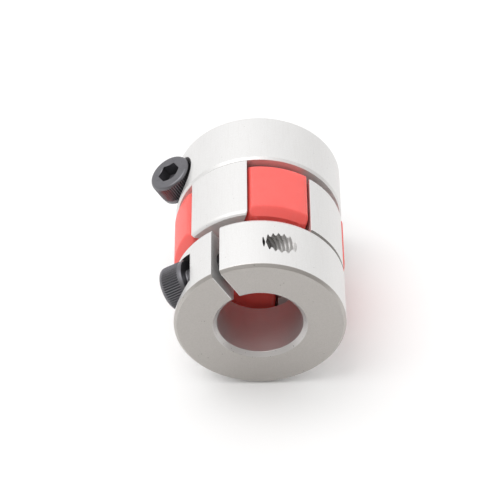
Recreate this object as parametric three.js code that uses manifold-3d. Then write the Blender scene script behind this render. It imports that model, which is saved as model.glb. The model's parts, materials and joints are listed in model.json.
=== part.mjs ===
// A clamp-type jaw coupling, size D20 x L25, lying on its side, in millimetres.
//
// The shaft axis is the Y axis, +Z is up, and the origin is the middle of the coupling on that axis.
// Two identical hubs face each other with their jaws interleaved, and a four-lobed elastomer spider
// fills the spaces between the jaws. Each hub is split on one side and clamped by one cap screw.
import * as THREE from "three";
import { mergeVertices } from "three/addons/utils/BufferGeometryUtils.js";
import Module from "manifold-3d";

// ---- driving dimensions ----
const OUTER_RADIUS = 10; // D20
const LENGTH = 25; // L25, end face to end face
const BORE_RADIUS = 5; // for a 10 mm shaft
const LIE_ANGLE = -30.5; // degrees that the coupling is rolled about its own axis as it lies

// hub ring: the clamping end of a hub
const RING_LENGTH = 7.4;
const END_CHAMFER = 0.33;
const GROOVE_DEPTH = 0.2; // V-groove round the hub between the ring and the jaws' roots
const GROOVE_RING_SIDE = 0.34; // how far it reaches along the ring
const GROOVE_JAW_SIDE = 0.3; // and along the jaws
const BORE_CHAMFER = 0.5;
const SLIT_WIDTH = 1.05;

// clamp screw, M3 x 10 socket head cap screw
const SCREW_OFFSET = 7.05; // screw axis to shaft axis
const SCREW_FROM_END = 3.8; // screw axis to the hub's end face
const SEAT_DEPTH = 3.85; // slit's middle plane to the seat under the screw head
const SCREW_LENGTH = 10;
const SHANK_RADIUS = 1.2; // core of the M3 thread
const THREAD_RADIUS = 1.5;
const CLEARANCE_RADIUS = 1.7;
const HEAD_RADIUS = 2.65;
const HEAD_HEIGHT = 3;
const HEAD_CHAMFER = 0.25;
const SOCKET_ACROSS_FLATS = 2.5;
const SOCKET_DEPTH = 1.6;
const POCKET_RADIUS = 3;
const NEAR_BACKED_OUT = 1.05; // how far each screw stands off its seat
const FAR_BACKED_OUT = 2.55;

// jaws and spider
const JAW_RADIUS = 9.97;
const JAW_TIP_GAP = 1.15; // jaw tip to the other hub's ring
const JAW_TIP_CHAMFER = 0.3;
const FLANK_GAP = 0.3; // jaw flank to lobe flank
const LOBE_RADIUS = 10.1;
const LOBE_CORNER = 0.35;
const LOBE_CHAMFER = 0.9;
const LOBE_HALF_WIDTH = 3.55; // at the fullest point of a lobe
const LOBE_FULLEST_AT = 7.6; // that point's distance from the shaft axis
const FLANK_RADIUS = 12.6; // bulge of a lobe's flank
const WEB_RADIUS = 4.25; // bottom of the notch between two lobes
const SPIDER_HOLE_RADIUS = 3.4;
const SPIDER_LENGTH = 8.6;
const SPIDER_SHIFT = 0.5; // the spider sits this far towards the far hub

// how finely round surfaces are divided
const TURNED_STEPS = 96;
const HOLE_STEPS = 40;
const CURVE_STEPS = 10;

const LOBES = 4;
const OVERRUN = 2; // how far a cutter runs past the surface it opens
const RING_END = -LENGTH / 2 + RING_LENGTH; // inner face of the near ring
const JAW_TIP = LENGTH / 2 - RING_LENGTH - JAW_TIP_GAP;
const SCREW_Y = -LENGTH / 2 + SCREW_FROM_END;

const wasm = await Module();
wasm.setup();

// ---- solids ----

function solid(geometry) {
  const bare = geometry.index ? geometry.toNonIndexed() : geometry.clone();
  bare.deleteAttribute("normal");
  bare.deleteAttribute("uv");
  const merged = mergeVertices(bare, 1e-4);
  return new wasm.Manifold(
    new wasm.Mesh({
      numProp: 3,
      vertProperties: new Float32Array(merged.attributes.position.array),
      triVerts: new Uint32Array(merged.index.array),
    }),
  );
}

function geometryOf(made) {
  const mesh = made.getMesh();
  const geometry = new THREE.BufferGeometry();
  geometry.setAttribute("position", new THREE.BufferAttribute(mesh.vertProperties, 3));
  geometry.setIndex(new THREE.BufferAttribute(mesh.triVerts, 1));
  return geometry;
}

// A solid turned about the Y axis. The profile is a list of [radius, y], anticlockwise as drawn with
// the radius to the right and y up, and it is closed here.
function turned(profile, steps = TURNED_STEPS) {
  const points = [...profile, profile[0]].map(([radius, y]) => new THREE.Vector2(radius, y));
  return solid(new THREE.LatheGeometry(points, steps));
}

// A round bar along X between two values of x, for holes and pockets.
function barAlongX(radius, xFrom, xTo, y, z) {
  const bar = new THREE.CylinderGeometry(radius, radius, xTo - xFrom, HOLE_STEPS);
  bar.rotateZ(Math.PI / 2);
  bar.translate((xFrom + xTo) / 2, y, z);
  return solid(bar);
}

// A block between two corners.
function block(low, high) {
  const size = high.map((value, axis) => value - low[axis]);
  const box = new THREE.BoxGeometry(...size);
  box.translate(...low.map((value, axis) => value + size[axis] / 2));
  return solid(box);
}

// A shape drawn in the X-Z plane, made solid from yFrom to yTo.
function extrudedAlongY(shape, yFrom, yTo) {
  const geometry = new THREE.ExtrudeGeometry(shape, {
    depth: yTo - yFrom,
    bevelEnabled: false,
    curveSegments: CURVE_STEPS,
  });
  geometry.rotateX(Math.PI / 2);
  geometry.translate(0, yTo, 0);
  return solid(geometry);
}

// ---- outlines of the lobes and jaws ----

// A point at an angle and a distance from the shaft axis. Angles run from +X towards +Z.
function polar(angle, radius) {
  return new THREE.Vector2(Math.cos(angle) * radius, Math.sin(angle) * radius);
}

// The middle of the large arc that forms one flank of the lobe at lobeAngle. The flank on the
// anticlockwise side has side = 1, the other one side = -1.
function flankCentre(lobeAngle, side) {
  const along = polar(lobeAngle, LOBE_FULLEST_AT);
  const across = polar(lobeAngle + (side * Math.PI) / 2, LOBE_HALF_WIDTH - FLANK_RADIUS);
  return along.add(across);
}

// Where the circle of flankRadius about centre leaves the circle of radius about the shaft axis,
// on the side of the lobe or jaw at angle.
function flankMeets(centre, flankRadius, radius, angle) {
  const distance = centre.length();
  const along = (distance ** 2 + radius ** 2 - flankRadius ** 2) / (2 * distance);
  const aside = Math.sqrt(radius ** 2 - along ** 2);
  const direction = Math.atan2(centre.y, centre.x);
  const candidates = [1, -1].map((sign) => polar(direction, along).add(
    polar(direction + (sign * Math.PI) / 2, aside),
  ));
  const target = polar(angle, radius);
  candidates.sort((a, b) => a.distanceTo(target) - b.distanceTo(target));
  return candidates[0];
}

function angleAbout(centre, point) {
  return Math.atan2(point.y - centre.y, point.x - centre.x);
}

// The radius of the small arc at the bottom of a notch, and its middle's distance from the shaft
// axis, so that the arc touches both neighbouring flanks and its lowest point is at WEB_RADIUS.
function notchArc() {
  const flank = flankCentre(0, 1);
  const diagonal = (flank.x + flank.y) / Math.SQRT2;
  const reach = FLANK_RADIUS - WEB_RADIUS;
  const distance = (flank.lengthSq() - reach ** 2) / (2 * (diagonal + reach));
  return { distance, radius: distance - WEB_RADIUS };
}

// The spider seen along the shaft: four full lobes joined round a hole.
function spiderOutline() {
  const shape = new THREE.Shape();
  const notch = notchArc();
  for (let lobe = 0; lobe < LOBES; lobe++) {
    const angle = Math.PI / 4 + (lobe * 2 * Math.PI) / LOBES;
    const notchBefore = polar(angle - Math.PI / 4, notch.distance);
    const notchAfter = polar(angle + Math.PI / 4, notch.distance);
    const low = flankCentre(angle, -1);
    const high = flankCentre(angle, 1);
    const lowCorner = flankMeets(low, FLANK_RADIUS, LOBE_RADIUS, angle);
    const highCorner = flankMeets(high, FLANK_RADIUS, LOBE_RADIUS, angle);
    const cornerAngle = LOBE_CORNER / LOBE_RADIUS;
    const arcStart = Math.atan2(lowCorner.y, lowCorner.x) + cornerAngle;
    const arcEnd = Math.atan2(highCorner.y, highCorner.x) - cornerAngle;
    const flankStep = LOBE_CORNER / FLANK_RADIUS;
    shape.absarc(
      low.x,
      low.y,
      FLANK_RADIUS,
      angleAbout(low, notchBefore),
      angleAbout(low, lowCorner) - flankStep,
      false,
    );
    shape.absarc(0, 0, LOBE_RADIUS, arcStart, arcEnd, false);
    shape.absarc(
      high.x,
      high.y,
      FLANK_RADIUS,
      angleAbout(high, highCorner) + flankStep,
      angleAbout(high, notchAfter),
      false,
    );
    shape.absarc(
      notchAfter.x,
      notchAfter.y,
      notch.radius,
      angleAbout(notchAfter, high),
      angleAbout(notchAfter, flankCentre(angle + Math.PI / 2, -1)),
      true,
    );
  }
  shape.closePath();
  return shape;
}

// One jaw seen along the shaft, centred on angle: hollow flanks that follow the lobes on either side.
function jawOutline(angle) {
  const radius = FLANK_RADIUS + FLANK_GAP;
  const low = flankCentre(angle - Math.PI / 4, 1);
  const high = flankCentre(angle + Math.PI / 4, -1);
  const outside = JAW_RADIUS + OVERRUN / 4;
  const inside = BORE_RADIUS - OVERRUN / 8;
  const shape = new THREE.Shape();
  shape.absarc(
    low.x,
    low.y,
    radius,
    angleAbout(low, flankMeets(low, radius, inside, angle)),
    angleAbout(low, flankMeets(low, radius, outside, angle)),
    true,
  );
  shape.absarc(
    high.x,
    high.y,
    radius,
    angleAbout(high, flankMeets(high, radius, outside, angle)),
    angleAbout(high, flankMeets(high, radius, inside, angle)),
    true,
  );
  shape.closePath();
  return shape;
}

// ---- the pieces ----

// The ring that grips the shaft, before the slit and the screw holes are cut.
function ringBlank() {
  const end = -LENGTH / 2;
  return turned([
    [BORE_RADIUS + BORE_CHAMFER, end],
    [OUTER_RADIUS - END_CHAMFER, end],
    [OUTER_RADIUS, end + END_CHAMFER],
    [OUTER_RADIUS, RING_END],
    [BORE_RADIUS, RING_END],
    [BORE_RADIUS, end + BORE_CHAMFER],
  ]);
}

// A pair of jaws, trimmed to the turned shape that they are milled from.
function jawPair() {
  const root = RING_END - RING_LENGTH / 4;
  const blank = turned([
    [BORE_RADIUS, root],
    [JAW_RADIUS, root],
    [JAW_RADIUS, JAW_TIP - JAW_TIP_CHAMFER],
    [JAW_RADIUS - JAW_TIP_CHAMFER, JAW_TIP],
    [BORE_RADIUS, JAW_TIP],
  ]);
  const milled = [0, Math.PI].map((angle) => extrudedAlongY(jawOutline(angle), root, JAW_TIP));
  return milled[0].add(milled[1]).intersect(blank);
}

// What the V-groove at the jaws' roots takes away. It also chamfers the ring between the jaws.
function grooveCutter() {
  const bottom = OUTER_RADIUS - GROOVE_DEPTH;
  return turned([
    [bottom, RING_END],
    [bottom + 2 * GROOVE_DEPTH, RING_END - 2 * GROOVE_RING_SIDE],
    [bottom + 2 * GROOVE_DEPTH, RING_END + 2 * GROOVE_JAW_SIDE],
  ]);
}

// One hub as it stands at the near end: slit on +Z, screw head side on -X, jaws on +X and -X.
function hubSolid() {
  const slit = block(
    [-SLIT_WIDTH / 2, -LENGTH / 2 - OVERRUN, BORE_RADIUS / 2],
    [SLIT_WIDTH / 2, RING_END + OVERRUN, OUTER_RADIUS + OVERRUN],
  );
  const far = OUTER_RADIUS + OVERRUN;
  const pocket = barAlongX(POCKET_RADIUS, -far, -SEAT_DEPTH, SCREW_Y, SCREW_OFFSET);
  const clearanceHole = barAlongX(CLEARANCE_RADIUS, -far, 0, SCREW_Y, SCREW_OFFSET);
  const tappedHole = barAlongX(THREAD_RADIUS, 0, far, SCREW_Y, SCREW_OFFSET);
  return ringBlank()
    .add(jawPair())
    .subtract(grooveCutter())
    .subtract(slit)
    .subtract(pocket)
    .subtract(clearanceHole)
    .subtract(tappedHole);
}

// The spider, with the outer edges of its lobes chamfered at both ends.
function spiderSolid() {
  const low = SPIDER_SHIFT - SPIDER_LENGTH / 2;
  const high = SPIDER_SHIFT + SPIDER_LENGTH / 2;
  const hole = new THREE.Path();
  hole.absarc(0, 0, SPIDER_HOLE_RADIUS, 0, 2 * Math.PI, true);
  const outline = spiderOutline();
  outline.holes.push(hole);
  const envelope = turned([
    [0, low],
    [LOBE_RADIUS - LOBE_CHAMFER, low],
    [LOBE_RADIUS, low + LOBE_CHAMFER],
    [LOBE_RADIUS, high - LOBE_CHAMFER],
    [LOBE_RADIUS - LOBE_CHAMFER, high],
    [0, high],
  ]);
  return extrudedAlongY(outline, low, high).intersect(envelope);
}

// A cap screw turned about the Y axis: underside of the head at y = 0, shank towards +Y.
function screwSolid() {
  const tipChamfer = SHANK_RADIUS / 3;
  const body = turned(
    [
      [0, -HEAD_HEIGHT],
      [HEAD_RADIUS - HEAD_CHAMFER, -HEAD_HEIGHT],
      [HEAD_RADIUS, -HEAD_HEIGHT + HEAD_CHAMFER],
      [HEAD_RADIUS, 0],
      [SHANK_RADIUS, 0],
      [SHANK_RADIUS, SCREW_LENGTH - tipChamfer],
      [SHANK_RADIUS - tipChamfer, SCREW_LENGTH],
      [0, SCREW_LENGTH],
    ],
    HOLE_STEPS,
  );
  const acrossCorners = SOCKET_ACROSS_FLATS / Math.cos(Math.PI / 6);
  const socket = new THREE.CylinderGeometry(
    acrossCorners / 2,
    acrossCorners / 2,
    SOCKET_DEPTH + OVERRUN,
    6,
  );
  socket.translate(0, -HEAD_HEIGHT + SOCKET_DEPTH - (SOCKET_DEPTH + OVERRUN) / 2, 0);
  return body.subtract(solid(socket));
}

// ---- materials ----

const aluminium = new THREE.MeshStandardMaterial({ color: 0xd9d6d0, roughness: 0.45, metalness: 0.9 });
const polyurethane = new THREE.MeshStandardMaterial({ color: 0xd8231c, roughness: 0.5, metalness: 0 });
const blackSteel = new THREE.MeshStandardMaterial({ color: 0x26262a, roughness: 0.5, metalness: 0.7 });

// ---- assembly ----

const hubGeometry = geometryOf(hubSolid());
const screwGeometry = geometryOf(screwSolid());

function piece(name, geometry, material) {
  const mesh = new THREE.Mesh(geometry, material);
  mesh.name = name;
  return mesh;
}

// A hub with its clamp screw, which stands backedOut off its seat.
function hubWithScrew(prefix, backedOut) {
  const group = new THREE.Group();
  group.add(piece(prefix + "_clamp_hub", hubGeometry, aluminium));
  const screw = piece(prefix + "_clamp_screw", screwGeometry, blackSteel);
  screw.rotation.z = -Math.PI / 2; // the shank points along +X
  screw.position.set(-SEAT_DEPTH - backedOut, SCREW_Y, SCREW_OFFSET);
  group.add(screw);
  return group;
}

const coupling = new THREE.Group();
coupling.add(hubWithScrew("near", NEAR_BACKED_OUT));

// The far hub is the near one turned end for end about an axis midway between two jaws.
const farEnd = hubWithScrew("far", FAR_BACKED_OUT);
const turnAxis = new THREE.Vector3(-Math.SQRT1_2, 0, Math.SQRT1_2);
farEnd.quaternion.setFromAxisAngle(turnAxis, Math.PI);
coupling.add(farEnd);

coupling.add(piece("jaw_spider", geometryOf(spiderSolid()), polyurethane));
coupling.rotation.y = THREE.MathUtils.degToRad(LIE_ANGLE);

const part = new THREE.Group();
part.add(coupling);

export default part;
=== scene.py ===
"""A clamp-type jaw coupling, D20 x L25, lying on a pale floor.

Two slit aluminium hubs with interleaved jaws, a four-lobed polyurethane spider between them and one
M3 socket head cap screw across each slit. The shaft axis is Y and +Z is up. Shapes are drawn in
millimetres in a hub's own frame (slit on +Z, screw along X, jaws on +X and -X, end face at -Y) and are
then turned to where the coupling lies.
"""

import json
import math

import bmesh
import bpy
import numpy as np
from mathutils import Matrix, Vector


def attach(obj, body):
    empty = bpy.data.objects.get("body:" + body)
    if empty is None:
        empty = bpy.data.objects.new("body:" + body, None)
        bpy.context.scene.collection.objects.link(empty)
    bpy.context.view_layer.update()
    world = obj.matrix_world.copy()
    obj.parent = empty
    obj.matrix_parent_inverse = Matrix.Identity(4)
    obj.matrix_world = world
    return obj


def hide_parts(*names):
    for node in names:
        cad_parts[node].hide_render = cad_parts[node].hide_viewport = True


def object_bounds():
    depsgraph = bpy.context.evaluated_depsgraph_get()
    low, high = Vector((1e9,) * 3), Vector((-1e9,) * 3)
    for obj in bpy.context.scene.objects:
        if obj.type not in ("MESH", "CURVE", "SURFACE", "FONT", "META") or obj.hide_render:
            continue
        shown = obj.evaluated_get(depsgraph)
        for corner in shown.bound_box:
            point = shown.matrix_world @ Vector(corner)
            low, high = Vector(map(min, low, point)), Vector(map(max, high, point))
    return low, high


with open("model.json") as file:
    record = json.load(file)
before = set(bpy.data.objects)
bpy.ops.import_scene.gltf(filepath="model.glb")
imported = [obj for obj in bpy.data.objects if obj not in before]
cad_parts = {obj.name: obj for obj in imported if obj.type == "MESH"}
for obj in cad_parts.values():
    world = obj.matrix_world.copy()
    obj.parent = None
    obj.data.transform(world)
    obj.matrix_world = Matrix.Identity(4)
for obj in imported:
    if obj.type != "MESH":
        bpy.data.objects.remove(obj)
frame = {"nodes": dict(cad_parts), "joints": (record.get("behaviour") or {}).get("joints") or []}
CAD_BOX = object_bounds()

MM = 0.001

# ---- sizes in millimetres, the same as the CAD's ----
OUTER_RADIUS = 10.0
LENGTH = 25.0
BORE_RADIUS = 5.0
LIE_ANGLE = math.radians(-30.5)
RING_LENGTH = 7.4
END_CHAMFER = 0.33
GROOVE_DEPTH = 0.2  # V-groove round the hub between the ring and the jaws' roots
GROOVE_RING_SIDE = 0.34
GROOVE_JAW_SIDE = 0.3
BORE_CHAMFER = 0.5
SLIT_WIDTH = 1.05
SCREW_OFFSET = 7.05
SCREW_FROM_END = 3.8
SEAT_DEPTH = 3.85
CLEARANCE_RADIUS = 1.7
POCKET_RADIUS = 3.0
JAW_RADIUS = 9.97
JAW_TIP_GAP = 1.15
JAW_TIP_CHAMFER = 0.3
FLANK_GAP = 0.3
LOBES = 4
LOBE_RADIUS = 10.1
LOBE_CORNER = 0.35
LOBE_CHAMFER = 0.9
LOBE_HALF_WIDTH = 3.55
LOBE_FULLEST_AT = 7.6
FLANK_RADIUS = 12.6
WEB_RADIUS = 4.25
SPIDER_HOLE_RADIUS = 3.4
SPIDER_LENGTH = 8.6
SPIDER_SHIFT = 0.5
HEAD_RADIUS = 2.65
HEAD_HEIGHT = 3.0
HEAD_CHAMFER = 0.25
SOCKET_ACROSS_FLATS = 2.5
SOCKET_DEPTH = 1.6
SCREW_LENGTH = 10.0

# ---- finer detail that only the looks have ----
THREAD_PITCH = 0.5
THREAD_ROOT_RADIUS = 1.54  # bottom of the tapped hole's groove
THREAD_CREST_RADIUS = 1.18
THREAD_FLAT = 1 / 16  # half of the flat at a groove's bottom, in pitches
THREAD_SLOPE_END = 3 / 8  # where a thread's slope ends, in pitches from the groove's middle
THREAD_CLEARANCE = 0.04
THREAD_PHASE = 0.62  # where along the screw's axis the helix starts, in pitches
EDGE_BREAK = 0.07
JAW_EDGE_BREAK = 0.18
TURNED_EDGE = 0.06  # how far the turned corners are rounded off
SPIDER_EDGE = 0.6
CORNER_WIDENING = 1.6  # extra corner length for each millimetre that the outline moves inwards
LOBE_BEND = 0.06  # the rows on either side of a lobe's chamfer edge are this far from it
FAR_LOBE_CHAMFER = 1.2  # the lobes' far ends are cut back a little more than their near ends
KNURL_RIDGES = 54
KNURL_DEPTH = 0.16
LAND_HEIGHT = 0.5  # smooth band of a screw head above its underside
SOCKET_MOUTH_RADIUS = 1.36  # of the countersink at the socket's mouth
NECK_RADIUS = 1.42  # of the plain shank under a screw's head
NECK_LENGTH = 0.5
THREAD_RUN_IN = 0.5  # length over which the screw's thread grows to its full height
SHANK_TIP_RADIUS = 1.5
SHANK_TIP_CHAMFER = 0.45

END_Y = -LENGTH / 2
RING_END = END_Y + RING_LENGTH
JAW_TIP = LENGTH / 2 - RING_LENGTH - JAW_TIP_GAP
SCREW_Y = END_Y + SCREW_FROM_END
TURNED_STEPS = 256
SHARP_ANGLE = math.radians(32)
BEVEL_ANGLE = math.radians(24)  # only edges sharper than this are broken

# ---- the photograph's view, in degrees and metres, and its light ----
CAMERA_ELEVATION = 45.324
CAMERA_ROLL = -0.519
CAMERA_DISTANCE = 0.26686
CAMERA_AIM = (-0.0010962, -0.0000955, -0.0000990)
CAMERA_LENS = 160.83
FLOOR_REACH = 3.0
LIGHT_DIRECTION = (-0.15, 0.7, 0.7)


# ---- mesh helpers ----


def new_object(name, vertices, faces):
    mesh = bpy.data.meshes.new(name)
    mesh.from_pydata([tuple(map(float, v)) for v in vertices], [], faces)
    mesh.validate()
    made = bmesh.new()
    made.from_mesh(mesh)
    bmesh.ops.recalc_face_normals(made, faces=made.faces)
    made.to_mesh(mesh)
    made.free()
    piece = bpy.data.objects.new(name, mesh)
    bpy.context.scene.collection.objects.link(piece)
    return piece


def skin(rows, closed=False):
    """Vertices and faces of rings joined one to the next, capped at both ends or closed on themselves."""
    rows = np.asarray(rows, float)
    count, around = rows.shape[:2]
    faces = []
    for i in range(count if closed else count - 1):
        low = i * around
        high = (i + 1) % count * around
        for j in range(around):
            k = (j + 1) % around
            faces.append((low + j, low + k, high + k, high + j))
    if not closed:
        faces.append(tuple(range(around - 1, -1, -1)))
        faces.append(tuple(range((count - 1) * around, count * around)))
    return rows.reshape(-1, 3), faces


def turned_rows(profile, steps=TURNED_STEPS):
    """Rings about the Y axis for a profile of (radius, y)."""
    angles = np.arange(steps) * 2 * math.pi / steps
    ring = np.stack([np.cos(angles), np.zeros(steps), np.sin(angles)], 1)
    return [ring * radius + np.array([0, y, 0]) for radius, y in profile]


def bar_rows(radius, x_from, x_to, rings=2, steps=96):
    """Rings of a round bar along X, on the clamp screw's axis."""
    angles = np.arange(steps) * 2 * math.pi / steps
    ring = np.stack([np.zeros(steps), np.cos(angles), np.sin(angles)], 1) * radius
    return [ring + np.array([x, SCREW_Y, SCREW_OFFSET]) for x in np.linspace(x_from, x_to, rings)]


def combine(piece, other, operation):
    """Boolean of two closed meshes, the second of which is used up."""
    step = piece.modifiers.new(operation, "BOOLEAN")
    step.operation = operation
    step.solver = "MANIFOLD"
    step.object = other
    graph = bpy.context.evaluated_depsgraph_get()
    mesh = bpy.data.meshes.new_from_object(piece.evaluated_get(graph), depsgraph=graph)
    piece.modifiers.clear()
    piece.data = mesh
    bpy.data.objects.remove(other)
    return piece


# ---- outlines of the lobes and jaws, as complex numbers x + iz ----


def polar(angle, radius):
    return radius * complex(math.cos(angle), math.sin(angle))


def flank_centre(lobe_angle, side):
    """Middle of the large arc that forms one flank of a lobe; side is 1 for the anticlockwise one."""
    across = polar(lobe_angle + side * math.pi / 2, LOBE_HALF_WIDTH - FLANK_RADIUS)
    return polar(lobe_angle, LOBE_FULLEST_AT) + across


def flank_meets(centre, flank_radius, radius, angle):
    """Where the circle about centre leaves the circle of radius about the axis, on the side of angle."""
    distance = abs(centre)
    along = (distance**2 + radius**2 - flank_radius**2) / (2 * distance)
    aside = math.sqrt(radius**2 - along**2)
    direction = centre / distance
    candidates = [direction * complex(along, sign * aside) for sign in (1, -1)]
    target = polar(angle, radius)
    return min(candidates, key=lambda point: abs(point - target))


def arc(centre, start, end, steps, clockwise=False):
    """Points on an arc about centre from the point start to the point end."""
    radius = abs(start - centre)
    first = np.angle(start - centre)
    last = np.angle(end - centre)
    if clockwise and last > first:
        last -= 2 * math.pi
    if not clockwise and last < first:
        last += 2 * math.pi
    return centre + radius * np.exp(1j * np.linspace(first, last, steps))


def jaw_outline(angle, inside, outside):
    """One jaw seen along the shaft, between two radii: hollow flanks that follow the lobes."""
    radius = FLANK_RADIUS + FLANK_GAP
    low = flank_centre(angle - math.pi / 4, 1)
    high = flank_centre(angle + math.pi / 4, -1)
    low_in = flank_meets(low, radius, inside, angle)
    low_out = flank_meets(low, radius, outside, angle)
    high_out = flank_meets(high, radius, outside, angle)
    high_in = flank_meets(high, radius, inside, angle)
    return np.concatenate(
        [
            arc(low, low_in, low_out, 16, clockwise=True)[:-1],
            arc(0, low_out, high_out, 40)[:-1],
            arc(high, high_out, high_in, 16, clockwise=True)[:-1],
            arc(0, high_in, low_in, 12, clockwise=True)[:-1],
        ]
    )


def level(outline, y):
    return np.stack([outline.real, np.full(len(outline), y), outline.imag], 1)


# ---- hub ----


def thread_cutter(x_from, x_to):
    """The tapped hole: a helical groove along X on the screw's axis, from clear of the slit's wall."""
    around = 48
    profile = [(-THREAD_FLAT, THREAD_ROOT_RADIUS), (THREAD_FLAT, THREAD_ROOT_RADIUS)]
    profile += [(THREAD_SLOPE_END, THREAD_CREST_RADIUS), (1 - THREAD_SLOPE_END, THREAD_CREST_RADIUS)]
    turns = math.ceil((x_to - x_from) / THREAD_PITCH)
    vertices = []
    for turn in range(turns + 1):
        for share, radius in profile:
            for j in range(around):
                angle = j * 2 * math.pi / around
                x = x_from + THREAD_PITCH * (turn + share + THREAD_PHASE + j / around)
                y = SCREW_Y + radius * math.cos(angle)
                vertices.append((x, y, SCREW_OFFSET + radius * math.sin(angle)))
    rows = (turns + 1) * len(profile)
    step = len(profile)  # a row's end meets the row one pitch further on
    faces = []
    for i in range(rows - 1):
        for j in range(around - 1):
            low = i * around + j
            faces.append((low, low + 1, low + around + 1, low + around))
    for i in range(rows - 1 - step):
        low = i * around + around - 1
        high = (i + step) * around
        faces.append((low, high, high + around, low + around))
    start = len(vertices)
    vertices.append((x_from + THREAD_PITCH / 2, SCREW_Y, SCREW_OFFSET))
    vertices.append((x_from + THREAD_PITCH * (turns + 0.5), SCREW_Y, SCREW_OFFSET))
    first_loop = list(range(around)) + [i * around for i in range(step, 0, -1)]
    for a, b in zip(first_loop, first_loop[1:] + first_loop[:1]):
        faces.append((a, b, start))
    top = rows - 1
    last_loop = [top * around + j for j in range(around)]
    last_loop += [i * around + around - 1 for i in range(top - 1, top - step - 1, -1)]
    for a, b in zip(last_loop, last_loop[1:] + last_loop[:1]):
        faces.append((a, b, start + 1))
    return new_object("thread", vertices, faces)


def rounded(profile, radius, steps=3):
    """A (radius, y) profile with each inner corner replaced by an arc that starts radius away from it."""
    points = [complex(*point) for point in profile]
    made = [points[0]]
    for before, corner, after in zip(points, points[1:], points[2:]):
        start = corner + (before - corner) / abs(before - corner) * radius
        end = corner + (after - corner) / abs(after - corner) * radius
        for share in np.linspace(0, 1, steps + 1):
            made.append((1 - share) ** 2 * start + 2 * share * (1 - share) * corner + share**2 * end)
    made.append(points[-1])
    return [(point.real, point.imag) for point in made]


def bevelled(piece, wanted, width):
    """Rounds the convex edges of a piece for which wanted(middle of the edge) is true."""
    made = bmesh.new()
    made.from_mesh(piece.data)
    bmesh.ops.remove_doubles(made, verts=made.verts, dist=0.0015)
    bmesh.ops.dissolve_degenerate(made, edges=made.edges, dist=0.001)
    chosen = []
    for edge in made.edges:
        if len(edge.link_faces) != 2 or not edge.is_convex:
            continue
        middle = (edge.verts[0].co + edge.verts[1].co) / 2
        if edge.calc_face_angle() > BEVEL_ANGLE and wanted(middle):
            chosen.append(edge)
    bmesh.ops.bevel(
        made,
        geom=chosen,
        offset=width,
        offset_type="OFFSET",
        segments=2,
        profile=0.5,
        affect="EDGES",
        clamp_overlap=False,
    )
    wide = [face for face in made.faces if len(face.verts) > 4]
    bmesh.ops.triangulate(made, faces=wide, quad_method="BEAUTY", ngon_method="BEAUTY")
    made.to_mesh(piece.data)
    made.free()
    return piece


def jaw(angle):
    """One jaw, from inside the ring to its chamfered tip, with its outer edges broken."""
    full = jaw_outline(angle, BORE_RADIUS - 1, JAW_RADIUS)
    tip = jaw_outline(angle, BORE_RADIUS - 1, JAW_RADIUS - JAW_TIP_CHAMFER)
    rows = [level(full, RING_END - 2), level(full, JAW_TIP - JAW_TIP_CHAMFER), level(tip, JAW_TIP)]
    made = new_object("jaw", *skin(rows))

    def flank_edge(point):
        below_tip = RING_END - 1.9 < point.y < JAW_TIP - 0.1
        return below_tip and math.hypot(point.x, point.z) > JAW_RADIUS - JAW_TIP_CHAMFER - 0.1

    return bevelled(made, flank_edge, JAW_EDGE_BREAK)


def hub_solid():
    blank = [
        (OUTER_RADIUS - END_CHAMFER - 1, END_Y),
        (OUTER_RADIUS - END_CHAMFER, END_Y),
        (OUTER_RADIUS, END_Y + END_CHAMFER),
        (OUTER_RADIUS, RING_END),
    ]
    hub = new_object("hub", *skin(turned_rows(rounded(blank, TURNED_EDGE))))
    for angle in (0, math.pi):
        combine(hub, jaw(angle), "UNION")
    bottom = OUTER_RADIUS - GROOVE_DEPTH
    groove = [
        (bottom, RING_END),
        (bottom + 2 * GROOVE_DEPTH, RING_END - 2 * GROOVE_RING_SIDE),
        (bottom + 2 * GROOVE_DEPTH, RING_END + 2 * GROOVE_JAW_SIDE),
    ]
    combine(hub, new_object("groove", *skin(turned_rows(groove), closed=True)), "DIFFERENCE")
    bore = [
        (BORE_RADIUS + BORE_CHAMFER + 0.1, END_Y - 0.05),
        (BORE_RADIUS + BORE_CHAMFER, END_Y),
        (BORE_RADIUS, END_Y + BORE_CHAMFER),
        (BORE_RADIUS, JAW_TIP + 2),
    ]
    combine(hub, new_object("bore", *skin(turned_rows(rounded(bore, TURNED_EDGE)))), "DIFFERENCE")
    half = SLIT_WIDTH / 2
    corners = [(-half, BORE_RADIUS / 2), (half, BORE_RADIUS / 2), (half, 12), (-half, 12)]
    slit = [[(x, y, z) for x, z in corners] for y in (END_Y - 2, RING_END + 2)]
    combine(hub, new_object("slit", *skin(slit)), "DIFFERENCE")
    pocket = bar_rows(POCKET_RADIUS, -12, -SEAT_DEPTH, rings=16, steps=128)
    combine(hub, new_object("pocket", *skin(pocket)), "DIFFERENCE")
    clearance = bar_rows(CLEARANCE_RADIUS, -12, 0)
    combine(hub, new_object("clearance", *skin(clearance)), "DIFFERENCE")
    combine(hub, thread_cutter(-THREAD_PITCH, 9), "DIFFERENCE")

    def slit_or_pocket(point):
        from_screw = math.hypot(point.y - SCREW_Y, point.z - SCREW_OFFSET)
        on_slit = abs(abs(point.x) - half) < 0.01 and point.z > 0
        on_pocket = point.x < -half - 0.5 and from_screw < POCKET_RADIUS + 0.1
        at_rim = math.hypot(point.x, point.z) > OUTER_RADIUS - 0.02
        return (on_slit and from_screw > 2) or (on_pocket and at_rim)

    return bevelled(hub, slit_or_pocket, EDGE_BREAK)


# ---- spider ----


def notch_arc():
    """Distance from the axis and radius of the arc at the bottom of the notch between two lobes."""
    flank = flank_centre(0, 1)
    diagonal = (flank.real + flank.imag) / math.sqrt(2)
    reach = FLANK_RADIUS - WEB_RADIUS
    distance = (abs(flank) ** 2 - reach**2) / (2 * (diagonal + reach))
    return distance, distance - WEB_RADIUS


def toward(centre, radius, point):
    """The point of the circle about centre in the direction of another point."""
    return centre + radius * (point - centre) / abs(point - centre)


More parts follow.
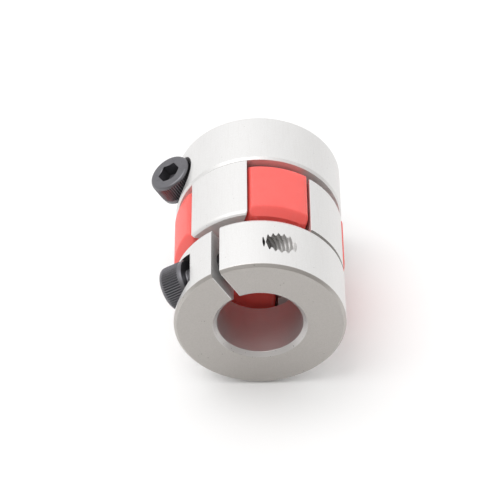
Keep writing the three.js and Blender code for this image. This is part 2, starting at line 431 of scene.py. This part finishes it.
def corner_points(start, corner, end, steps):
    """A smooth turn from start to end past a corner."""
    share = np.linspace(0, 1, steps)
    return (1 - share) ** 2 * start + 2 * share * (1 - share) * corner + share**2 * end


def spider_outline(corner):
    """The spider seen along the shaft: four full lobes, each turning over a length corner at its edges."""
    points = []
    notch_distance, notch_radius = notch_arc()
    turn = corner / LOBE_RADIUS
    for lobe in range(LOBES):
        angle = math.pi / 4 + lobe * 2 * math.pi / LOBES
        before = polar(angle - math.pi / 4, notch_distance)
        after = polar(angle + math.pi / 4, notch_distance)
        low = flank_centre(angle, -1)
        high = flank_centre(angle, 1)
        low_corner = flank_meets(low, FLANK_RADIUS, LOBE_RADIUS, angle)
        high_corner = flank_meets(high, FLANK_RADIUS, LOBE_RADIUS, angle)
        bend = corner / FLANK_RADIUS
        low_end = low + (low_corner - low) * np.exp(-1j * bend)
        high_end = high + (high_corner - high) * np.exp(1j * bend)
        crown_start = low_corner * np.exp(1j * turn)
        crown_end = high_corner * np.exp(-1j * turn)
        points.append(arc(low, toward(low, FLANK_RADIUS, before), low_end, 28))
        points.append(corner_points(low_end, low_corner, crown_start, 7)[1:-1])
        points.append(arc(0, crown_start, crown_end, 40))
        points.append(corner_points(crown_end, high_corner, high_end, 7)[1:-1])
        points.append(arc(high, high_end, toward(high, FLANK_RADIUS, after), 28))
        next_low = flank_centre(angle + math.pi / 2, -1)
        notch_start = toward(after, notch_radius, high)
        notch_end = toward(after, notch_radius, next_low)
        points.append(arc(after, notch_start, notch_end, 14, clockwise=True)[1:-1])
    return np.concatenate(points)


def inset(distance):
    """The spider's outline moved inwards, with wider corners so that it never folds over itself."""
    outline = spider_outline(LOBE_CORNER + CORNER_WIDENING * distance)
    along = np.roll(outline, -1) - np.roll(outline, 1)
    return outline + 1j * along / np.abs(along) * distance


def spider_solid():
    low = SPIDER_SHIFT - SPIDER_LENGTH / 2
    high = SPIDER_SHIFT + SPIDER_LENGTH / 2
    outline = inset(0)
    directions = outline / np.abs(outline)
    hole = directions * SPIDER_HOLE_RADIUS
    rows = []
    turn = np.linspace(0, math.pi / 2, 6)
    depths = SPIDER_EDGE * (1 - np.sin(turn))  # how far the edge's round leaves the end face
    insets = SPIDER_EDGE * (1 - np.cos(turn))
    ends = [(low + depth, shift) for depth, shift in zip(depths[::-1], insets[::-1])]
    middle = [low + LOBE_CHAMFER - LOBE_BEND, low + LOBE_CHAMFER + LOBE_BEND]
    middle += list(np.linspace(low + LOBE_CHAMFER + 0.3, high - FAR_LOBE_CHAMFER - 0.3, 9))
    middle += [high - FAR_LOBE_CHAMFER - LOBE_BEND, high - FAR_LOBE_CHAMFER + LOBE_BEND]
    levels = [(y, shift) for y, shift in ends]
    levels += [(y, 0.0) for y in middle]
    levels += [(low + high - y, shift) for y, shift in ends[::-1]]
    for y, shift in levels:
        near_cut = LOBE_CHAMFER - (y - low)
        far_cut = FAR_LOBE_CHAMFER - (high - y)
        most = LOBE_RADIUS - max(near_cut, far_cut, 0)
        ring = inset(shift)
        size = np.abs(ring)
        excess = np.maximum(size - most, 0)
        rows.append(level(ring / size * (size - excess), y))
    share = np.linspace(0, 1, 5)[1:]
    far_face = [level(inset(SPIDER_EDGE) * (1 - t) + hole * t, high) for t in share]
    near_face = [level(hole * (1 - t) + inset(SPIDER_EDGE) * t, low) for t in share[:-1]]
    bore = [level(hole, y) for y in np.linspace(high, low, 9)[1:]]
    return new_object("spider", *skin(rows + far_face + bore + near_face, closed=True))


# ---- clamp screw, built along X from its seat at x = 0, head towards -X ----


def thread_radius(phase):
    """Outside radius of the screw's thread at a share of a pitch away from a crest."""
    away = np.abs((np.asarray(phase) + 0.5) % 1 - 0.5)
    slope = (away - THREAD_FLAT) / (THREAD_SLOPE_END - THREAD_FLAT)
    depth = (THREAD_ROOT_RADIUS - THREAD_CREST_RADIUS) * np.clip(slope, 0, 1)
    return THREAD_ROOT_RADIUS - THREAD_CLEARANCE - depth


def hexagon_radius(angles):
    """Distance from the middle to a hexagon's side at each angle."""
    sixth = math.pi / 3
    return SOCKET_ACROSS_FLATS / 2 / np.cos((angles + sixth / 2) % sixth - sixth / 2)


def ring_at(x, radii, angles):
    radii = np.broadcast_to(radii, angles.shape)
    return np.stack([np.full(len(angles), x), radii * np.cos(angles), radii * np.sin(angles)], 1)


def knurl_levels(start, end):
    """Levels along a knurled band, close together where the grooves run out at its ends."""
    ends = [0, 0.05, 0.1, 0.15]
    levels = [start + step for step in ends]
    levels += list(np.linspace(start + 0.4, end - 0.4, 5))
    levels += [end - step for step in ends[::-1]]
    return levels


def screw_solid(name, backed_out):
    """A cap screw whose thread sits in the tapped hole's groove when it stands backed_out off its seat."""
    head_steps = KNURL_RIDGES * 8
    angles = np.arange(head_steps) * 2 * math.pi / head_steps
    hexagon = hexagon_radius(angles)
    rows = []
    floor = -HEAD_HEIGHT + SOCKET_DEPTH
    for share in (0.02, 0.35, 0.7, 1):
        rows.append(ring_at(floor + 0.35 * (1 - share), hexagon * share, angles))
    for depth in (1.2, 0.8, 0.5, 0.3, 0.2, 0.15, 0.12, 0.09, 0.06, 0.03, 0):
        countersink = SOCKET_MOUTH_RADIUS - depth * math.tan(math.radians(60))
        rows.append(ring_at(-HEAD_HEIGHT + depth, np.maximum(hexagon, countersink), angles))
    for radius in (1.56, 1.9, HEAD_RADIUS - HEAD_CHAMFER - 0.08):
        rows.append(ring_at(-HEAD_HEIGHT, radius, angles))
    ridge = 0.5 - 0.5 * np.cos(angles * KNURL_RIDGES)
    ridge = ridge**0.7
    crown = [(HEAD_RADIUS - HEAD_CHAMFER, 0.02), (HEAD_RADIUS - 0.13, 0.12), (HEAD_RADIUS - 0.06, 0.24)]
    for radius, depth in crown:
        rows.append(ring_at(-HEAD_HEIGHT + depth, radius, angles))
    knurl_from = -HEAD_HEIGHT + 0.3
    knurl_to = -LAND_HEIGHT
    for x in knurl_levels(knurl_from, knurl_to):
        fade = min(1, (x - knurl_from) / 0.15, (knurl_to - x) / 0.1)
        groove = KNURL_DEPTH * fade * (1 - ridge)
        rows.append(ring_at(x, HEAD_RADIUS - 0.03 * (1 - fade) - groove, angles))
    for radius, x in ((0.04, -0.5), (0.04, -0.16), (0.06, -0.06), (0.12, 0)):
        rows.append(ring_at(x, HEAD_RADIUS - radius, angles))
    vertices = [tuple(v) for row in rows for v in row]
    faces = []
    for i in range(len(rows) - 1):
        for j in range(head_steps):
            k = (j + 1) % head_steps
            low = i * head_steps
            faces.append((low + j, low + head_steps + j, low + head_steps + k, low + k))
    faces.append(tuple(range(head_steps)))
    shank_steps = head_steps // 6
    turns = np.arange(shank_steps) * 2 * math.pi / shank_steps
    offset = SEAT_DEPTH + backed_out
    shank = []
    thread_levels = np.arange(0.25, SCREW_LENGTH + 1e-6, THREAD_PITCH / 16)
    for x in np.concatenate([[0, 0.04, 0.1, 0.2], thread_levels]):
        phase = (x - offset) / THREAD_PITCH - turns / (2 * math.pi) - THREAD_PHASE
        radii = thread_radius(phase)
        start = np.clip((x - NECK_LENGTH) / THREAD_RUN_IN, 0, 1)
        radii = radii * start + NECK_RADIUS * (1 - start)
        radii = radii + 0.1 * max(0, 1 - x / 0.1) ** 2
        tip = SHANK_TIP_RADIUS - max(0, x - (SCREW_LENGTH - SHANK_TIP_CHAMFER))
        shank.append(ring_at(x, np.minimum(radii, tip), turns))
    base = len(vertices)
    vertices += [tuple(v) for row in shank for v in row]
    outer = (len(rows) - 1) * head_steps
    for j in range(shank_steps):
        k = (j + 1) % shank_steps
        rim = [outer + (6 * j + i) % head_steps for i in range(7)]
        faces.append(tuple([base + k, base + j] + rim))
    for i in range(len(shank) - 1):
        for j in range(shank_steps):
            k = (j + 1) % shank_steps
            low = base + i * shank_steps
            faces.append((low + j, low + shank_steps + j, low + shank_steps + k, low + k))
    faces.append(tuple(range(base + (len(shank) - 1) * shank_steps, base + len(shank) * shank_steps)))
    return new_object(name, vertices, faces)


# ---- surface zones of a hub ----

ZONES = (
    "side",
    "end_face",
    "rim_chamfer",
    "bore",
    "bore_chamfer",
    "slit",
    "pocket",
    "thread",
    "groove",
    "ring_face",
    "milled",
)


def zone_of(centre, normal):
    """Which machining left this face of a hub, from its middle and direction in the hub's own frame."""
    radius = math.hypot(centre.x, centre.z)
    outward = (centre.x * normal.x + centre.z * normal.z) / max(radius, 1e-6)
    from_screw = math.hypot(centre.y - SCREW_Y, centre.z - SCREW_OFFSET)
    half = SLIT_WIDTH / 2
    if centre.y < RING_END and radius < OUTER_RADIUS - 0.03 and centre.z > 0:
        if centre.x > half + 0.01 and from_screw < THREAD_ROOT_RADIUS + 0.02:
            return "thread"
        if centre.x < -half - 0.01 and from_screw < POCKET_RADIUS + 0.02 and outward < 0.97:
            return "pocket"
        if abs(normal.x) > 0.97 and abs(abs(centre.x) - half) < 0.02:
            return "slit"
    if centre.y < END_Y + 0.02 and normal.y < -0.95:
        return "end_face"
    if centre.y < END_Y + END_CHAMFER + 0.03 and radius > OUTER_RADIUS - END_CHAMFER - 0.05:
        return "rim_chamfer"
    if centre.y < END_Y + BORE_CHAMFER + 0.03 and radius < BORE_RADIUS + BORE_CHAMFER + 0.05:
        return "bore_chamfer"
    if outward < -0.9 and radius < BORE_RADIUS + 0.05:
        return "bore"
    # the groove's jaw-side slope gets a dark material that paints the shade cast there by the ring's edge
    if RING_END < centre.y < RING_END + GROOVE_JAW_SIDE and normal.y < -0.3 and outward > 0.5:
        return "groove"
    if abs(centre.y - RING_END) < 0.01 and normal.y > 0.95:
        return "ring_face"
    if centre.y > RING_END - 0.01 and (normal.y > 0.95 or outward < 0.7):
        return "milled"
    return "side"


TURNED_ZONES = (
    "side",
    "end_face",
    "rim_chamfer",
    "bore",
    "bore_chamfer",
    "groove",
    "ring_face",
    "milled",
)


def mark_zones(hub):
    """Gives each face its zone's material, and each face turned about the shaft an exactly round normal."""
    mesh = hub.data
    names = [zone_of(face.center, face.normal) for face in mesh.polygons]
    mesh.polygons.foreach_set("material_index", [ZONES.index(name) for name in names])
    normals = [(0.0, 0.0, 0.0)] * len(mesh.loops)  # zero leaves the loop's own smooth normal
    for face, name in zip(mesh.polygons, names):
        radial = Vector((face.center.x, 0, face.center.z)).normalized()
        out = face.normal.dot(radial)
        if name not in TURNED_ZONES or math.hypot(out, face.normal.y) < 0.9995:
            continue
        for loop in face.loop_indices:
            corner = mesh.vertices[mesh.loops[loop].vertex_index].co
            away = Vector((corner.x, 0, corner.z)).normalized() * out
            normals[loop] = (away.x, face.normal.y, away.z)
    mesh.shade_smooth()
    mesh.set_sharp_from_angle(angle=SHARP_ANGLE)
    mesh.normals_split_custom_set(normals)


# ---- placing ----


LIE = Matrix.Rotation(LIE_ANGLE, 4, "Y")
END_FOR_END = Matrix.Rotation(math.pi, 4, Vector((-1, 0, 1)))


def smoothed(piece):
    """Smooth shading with sharp edges, weighted so that large faces stay flat."""
    piece.data.shade_smooth()
    piece.data.set_sharp_from_angle(angle=SHARP_ANGLE)
    weighted = piece.modifiers.new("weighted_normals", "WEIGHTED_NORMAL")
    weighted.keep_sharp = True
    return piece


def finished(piece, name, place, body, node):
    """Turns a piece drawn in millimetres to its place in metres and ties it to the frame."""
    piece.name = name
    piece.data.name = name
    piece.data.transform(Matrix.Scale(MM, 4) @ place)
    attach(piece, body)
    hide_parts(node)
    return piece


def stand_off(node, joint_name):
    """How far a screw's head stands off its seat, in millimetres, read from the CAD."""
    joint = next(j for j in frame["joints"] if j["name"] == joint_name)
    axis = np.array(joint["axis"])
    points = np.array([v.co for v in frame["nodes"][node].data.vertices])
    head_top = (points @ axis).max() / MM
    return head_top - HEAD_HEIGHT - SEAT_DEPTH


near_hub = hub_solid()
for zone in ZONES:
    near_hub.data.materials.append(None)
mark_zones(near_hub)
far_hub = near_hub.copy()
far_hub.data = near_hub.data.copy()
bpy.context.scene.collection.objects.link(far_hub)
finished(near_hub, "near_hub_body", LIE, "near_hub", "near_clamp_hub")
finished(far_hub, "far_hub_body", LIE @ END_FOR_END, "far_hub", "far_clamp_hub")
finished(smoothed(spider_solid()), "spider_body", LIE, "spider", "jaw_spider")
for end, turned in (("near", Matrix.Identity(4)), ("far", END_FOR_END)):
    backed_out = stand_off(end + "_clamp_screw", end + "_screw_travel")
    screw = screw_solid(end + "_screw", backed_out)
    seat = Matrix.Translation((-SEAT_DEPTH - backed_out, SCREW_Y, SCREW_OFFSET))
    finished(
        smoothed(screw),
        end + "_screw_body",
        LIE @ turned @ seat,
        end + "_screw",
        end + "_clamp_screw",
    )


# ---- materials ----


class Look:
    """A Principled material and the node patterns that vary it, all in the frame's own coordinates."""

    def __init__(self, name, base, metallic, roughness, specular=0.5):
        self.material = bpy.data.materials.new(name)
        self.material.use_nodes = True
        self.tree = self.material.node_tree
        self.shader = self.tree.nodes["Principled BSDF"]
        self.base = base
        self.shader.inputs["Base Color"].default_value = (*base, 1)
        self.shader.inputs["Metallic"].default_value = metallic
        self.shader.inputs["Roughness"].default_value = roughness
        self.shader.inputs["Specular IOR Level"].default_value = specular
        self.position = self.tree.nodes.new("ShaderNodeTexCoord").outputs["Object"]
        self.normal = None

    def stretched(self, x, y, z):
        """The position with each axis scaled, in features per metre."""
        node = self.tree.nodes.new("ShaderNodeVectorMath")
        node.operation = "MULTIPLY"
        self.tree.links.new(self.position, node.inputs[0])
        node.inputs[1].default_value = (x, y, z)
        return node.outputs[0]

    def radius(self):
        """Distance from the shaft axis."""
        node = self.tree.nodes.new("ShaderNodeVectorMath")
        node.operation = "LENGTH"
        self.tree.links.new(self.stretched(1, 0, 1), node.inputs[0])
        return node.outputs["Value"]

    def noise(self, vector, scale=1.0, detail=3.0, roughness=0.5):
        node = self.tree.nodes.new("ShaderNodeTexNoise")
        node.inputs["Scale"].default_value = scale
        node.inputs["Detail"].default_value = detail
        node.inputs["Roughness"].default_value = roughness
        self.tree.links.new(vector, node.inputs["Vector"])
        return node.outputs[0]

    def lines(self, value, scale, detail=2.0):
        """Uneven parallel lines: noise of one value."""
        node = self.tree.nodes.new("ShaderNodeTexNoise")
        node.noise_dimensions = "1D"
        node.inputs["Scale"].default_value = scale
        node.inputs["Detail"].default_value = detail
        self.tree.links.new(value, node.inputs["W"])
        return node.outputs[0]

    def specks(self, scale, size):
        """1 in a few small scattered spots, 0 elsewhere."""
        cells = self.tree.nodes.new("ShaderNodeTexVoronoi")
        cells.inputs["Scale"].default_value = scale
        self.tree.links.new(self.position, cells.inputs["Vector"])
        return self.between(cells.outputs["Distance"], size, size * 0.6)

    def between(self, value, low, high, to_low=0.0, to_high=1.0):
        node = self.tree.nodes.new("ShaderNodeMapRange")
        node.inputs["From Min"].default_value = low
        node.inputs["From Max"].default_value = high
        node.inputs["To Min"].default_value = to_low
        node.inputs["To Max"].default_value = to_high
        self.tree.links.new(value, node.inputs["Value"])
        return node.outputs[0]

    def tint(self, share, other):
        """Mixes another colour into the base colour by a pattern."""
        node = self.tree.nodes.new("ShaderNodeMix")
        node.data_type = "RGBA"
        socket = self.shader.inputs["Base Color"]
        if socket.is_linked:
            self.tree.links.new(socket.links[0].from_socket, node.inputs["A"])
        else:
            node.inputs["A"].default_value = (*self.base, 1)
        node.inputs["B"].default_value = (*other, 1)
        self.tree.links.new(share, node.inputs["Factor"])
        self.tree.links.new(node.outputs["Result"], socket)

    def polish(self, share, low, high):
        """Roughness from low to high by a pattern."""
        self.tree.links.new(self.between(share, 0.3, 0.7, low, high), self.shader.inputs["Roughness"])

    def bump(self, height, depth, strength=1.0):
        """Raises the surface by depth metres where height is 1."""
        node = self.tree.nodes.new("ShaderNodeBump")
        node.inputs["Strength"].default_value = strength
        node.inputs["Distance"].default_value = depth
        self.tree.links.new(height, node.inputs["Height"])
        if self.normal is not None:
            self.tree.links.new(self.normal, node.inputs["Normal"])
        self.normal = node.outputs["Normal"]
        self.tree.links.new(self.normal, self.shader.inputs["Normal"])


def grey(value, warmth=0.0):
    return (value, value * (1 - 0.5 * warmth), value * (1 - warmth))


def blasted_aluminium():
    """Bead-blasted and clear anodised, over faint turning and drawing marks along the shaft."""
    look = Look("aluminium_blasted", grey(0.8, 0.012), 0.7, 0.5)
    grain = look.noise(look.stretched(1, 1, 1), 7000, 4, 0.6)
    streaks = look.noise(look.stretched(5200, 420, 5200), 1, 2)
    look.tint(look.between(grain, 0.35, 0.75, 0, 0.35), grey(0.7, 0.03))
    look.tint(look.between(streaks, 0.5, 0.75, 0, 0.3), grey(0.72, 0.04))
    look.tint(look.specks(900, 0.06), grey(0.55, 0.05))
    look.polish(grain, 0.4, 0.54)
    look.bump(grain, 0.000006)
    look.bump(streaks, 0.000003)
    return look.material


def turned_aluminium(name, base, roughness, depth, warmth=0.09):
    """Faced on a lathe and lightly blasted: faint rings about the shaft."""
    look = Look(name, grey(base, warmth), 0.9, roughness)
    rings = look.lines(look.radius(), 9000)
    grain = look.noise(look.stretched(1, 1, 1), 6500, 4, 0.6)
    look.tint(look.between(grain, 0.35, 0.75, 0, 0.4), grey(base * 0.84, warmth + 0.02))
    look.tint(look.specks(800, 0.07), grey(base * 0.6, warmth + 0.02))
    look.polish(grain, roughness - 0.05, roughness + 0.08)
    look.bump(rings, depth)
    look.bump(grain, 0.000005)
    return look.material


def bored_aluminium(name, base, roughness, depth):
    """Bored or reamed: fine marks round the shaft, one beside the next along it."""
    look = Look(name, base, 0.6, roughness)
    along = look.tree.nodes.new("ShaderNodeSeparateXYZ")
    look.tree.links.new(look.position, along.inputs[0])
    marks = look.lines(along.outputs["Y"], 14000)
    grain = look.noise(look.stretched(1, 1, 1), 5000, 3)
    look.tint(look.between(marks, 0.4, 0.7, 0, 0.35), tuple(0.75 * part for part in base))
    look.polish(grain, roughness - 0.05, roughness + 0.1)
    look.bump(marks, depth)
    return look.material


def milled_aluminium(name, base, roughness):
    """Cut by a saw or cutter whose marks run across the shaft, and left under the anodising."""
    look = Look(name, base, 0.6, roughness)
    marks = look.noise(look.stretched(500, 5200, 1800), 1, 3)
    grain = look.noise(look.stretched(1, 1, 1), 6000, 3)
    look.tint(look.between(marks, 0.36, 0.7, 0, 0.5), tuple(0.72 * part for part in base))
    look.polish(grain, roughness - 0.04, roughness + 0.08)
    look.bump(marks, 0.000002)
    return look.material


def red_polyurethane():
    """Moulded, slightly translucent, with the mould's fine texture."""
    look = Look("polyurethane_red", (0.98, 0.13, 0.112), 0, 0.46, specular=0.6)
    texture = look.noise(look.stretched(1, 1, 1), 5200, 4, 0.6)
    mottle = look.noise(look.stretched(1, 1, 1), 420, 3)
    look.tint(look.between(mottle, 0.35, 0.7, 0, 0.35), (0.93, 0.1, 0.085))
    look.tint(look.between(texture, 0.45, 0.8, 0, 0.25), (0.95, 0.2, 0.185))
    look.polish(texture, 0.4, 0.54)
    look.bump(texture, 0.000006)
    look.bump(mottle, 0.00001)
    look.shader.inputs["Subsurface Weight"].default_value = 0.4
    look.shader.inputs["Subsurface Radius"].default_value = (1.0, 0.25, 0.2)
    look.shader.inputs["Subsurface Scale"].default_value = 0.0009
    return look.material


def black_steel():
    """Black oxide, with brighter steel where handling has rubbed it."""
    look = Look("steel_black", (0.175, 0.172, 0.185), 0.9, 0.34)
    grain = look.noise(look.stretched(1, 1, 1), 6000, 4, 0.6)
    rubbed = look.noise(look.stretched(1, 1, 1), 900, 4, 0.6)
    look.tint(look.between(grain, 0.4, 0.75, 0, 0.5), (0.18, 0.18, 0.19))
    look.tint(look.between(rubbed, 0.55, 0.75, 0, 0.4), (0.1, 0.1, 0.11))
    look.polish(grain, 0.27, 0.42)
    look.bump(grain, 0.000004)
    return look.material


HUB_LOOKS = {
    "side": blasted_aluminium(),
    # painted shade: the end face has the side's anodised finish, and its low base paints the shade of a
    # face turned to the dim front
    "end_face": turned_aluminium("aluminium_faced_painted_shade", 0.47, 0.42, 0.000004),
    # painted shade: the rim chamfer's low base paints the shade of a face turned towards the dim front
    "rim_chamfer": turned_aluminium("aluminium_rim_painted_shade", 0.5, 0.36, 0.000002),
    # painted shade and painted reflection: the bore's darker, pinkish base paints the shade inside it and
    # the red spider's reflection
    "bore": bored_aluminium("aluminium_bored_painted_shade_and_reflection", (0.6, 0.56, 0.56), 0.34, 0.000002),
    # painted shade: the bore chamfer's darker base paints the shade at the bore's mouth
    "bore_chamfer": bored_aluminium("aluminium_bore_rim_painted_shade", (0.62, 0.6, 0.59), 0.32, 0.0000004),
    # painted shade: the slit walls' darker base paints the shade inside the narrow slit
    "slit": milled_aluminium("aluminium_sawn_painted_shade", (0.6, 0.59, 0.585), 0.42),
    # painted shade and painted reflection: the pocket's very dark base paints the shade under the screw
    # head and the head's dark reflection
    "pocket": milled_aluminium("aluminium_pocket_painted_shade", (0.3, 0.29, 0.3), 0.4),
    # painted shade: the tapped hole's darker base paints the shade inside the hole
    "thread": milled_aluminium("aluminium_tapped_painted_shade", (0.68, 0.67, 0.66), 0.42),
    # painted shade: the groove's dark base paints the shadow cast on its jaw-side slope by the ring's edge
    "groove": turned_aluminium("aluminium_groove_painted_shade", 0.3, 0.5, 0.000001),
    "ring_face": milled_aluminium("aluminium_ring_face", (0.68, 0.66, 0.65), 0.5),
    "milled": milled_aluminium("aluminium_milled", (0.9, 0.885, 0.87), 0.4),
}
for hub in (near_hub, far_hub):
    for index, zone in enumerate(ZONES):
        hub.data.materials[index] = HUB_LOOKS[zone]
bpy.data.objects["spider_body"].data.materials.append(red_polyurethane())
steel = black_steel()
for name in ("near_screw_body", "far_screw_body"):
    bpy.data.objects[name].data.materials.append(steel)


# ---- floor, light and camera ----


def studio():
    """A pale floor under a soft sky that is brightest above and behind, and one broad lamp."""
    floor_mesh = bpy.data.meshes.new("floor")
    height = CAD_BOX[0].z
    signs = ((-1, -1), (1, -1), (1, 1), (-1, 1))
    corners = [(x * FLOOR_REACH, y * FLOOR_REACH, height) for x, y in signs]
    floor_mesh.from_pydata(corners, [], [(0, 1, 2, 3)])
    floor = bpy.data.objects.new("floor", floor_mesh)
    paper = bpy.data.materials.new("floor_paper")
    paper.use_nodes = True
    shader = paper.node_tree.nodes["Principled BSDF"]
    shader.inputs["Base Color"].default_value = (0.98, 0.98, 0.98, 1)
    shader.inputs["Roughness"].default_value = 0.9
    shader.inputs["Specular IOR Level"].default_value = 0.1
    floor_mesh.materials.append(paper)
    bpy.context.scene.collection.objects.link(floor)
    world = bpy.data.worlds.new("studio")
    bpy.context.scene.world = world
    world.use_nodes = True
    tree = world.node_tree
    background = tree.nodes["Background"]
    direction = tree.nodes.new("ShaderNodeTexCoord").outputs["Generated"]
    toward_light = tree.nodes.new("ShaderNodeVectorMath")
    toward_light.operation = "DOT_PRODUCT"
    toward_light.inputs[1].default_value = Vector(LIGHT_DIRECTION).normalized()
    tree.links.new(direction, toward_light.inputs[0])
    fall = tree.nodes.new("ShaderNodeMapRange")
    fall.interpolation_type = "SMOOTHSTEP"
    fall.inputs["From Min"].default_value = -0.7
    fall.inputs["From Max"].default_value = 0.8
    tree.links.new(toward_light.outputs["Value"], fall.inputs["Value"])
    walls = tree.nodes.new("ShaderNodeMix")
    walls.data_type = "RGBA"
    walls.inputs["A"].default_value = (0.3, 0.28, 0.26, 1)
    walls.inputs["B"].default_value = (1.0, 1.0, 1.0, 1)
    tree.links.new(fall.outputs[0], walls.inputs["Factor"])
    tree.links.new(walls.outputs["Result"], background.inputs["Color"])
    lamp("key", (-0.14, 0.0, 0.34), 0.3, 0.55)


def lamp(name, place, size, power):
    data = bpy.data.lights.new(name, "AREA")
    data.size = size
    data.energy = power
    made = bpy.data.objects.new(name, data)
    made.location = place
    made.rotation_euler = Vector(place).to_track_quat("Z", "Y").to_euler()
    bpy.context.scene.collection.objects.link(made)


def camera():
    """The photograph's view, fitted to the outlines of the hubs in it."""
    elevation = math.radians(CAMERA_ELEVATION)
    roll = math.radians(CAMERA_ROLL)
    aim = Vector(CAMERA_AIM)
    back = Vector((0, -math.cos(elevation), math.sin(elevation)))
    right = Vector((1, 0, 0))
    up = back.cross(right)
    data = bpy.data.cameras.new("camera")
    data.lens = CAMERA_LENS
    data.sensor_width = 36
    data.clip_start = 0.01
    data.clip_end = 20
    made = bpy.data.objects.new("camera", data)
    rolled_right = math.cos(roll) * right + math.sin(roll) * up
    rolled_up = math.cos(roll) * up - math.sin(roll) * right
    turn = Matrix((rolled_right, rolled_up, back)).transposed()
    made.matrix_world = Matrix.Translation(aim + back * CAMERA_DISTANCE) @ turn.to_4x4()
    bpy.context.scene.collection.objects.link(made)
    bpy.context.scene.camera = made


studio()
camera()
bpy.context.scene.view_settings.view_transform = "Standard"
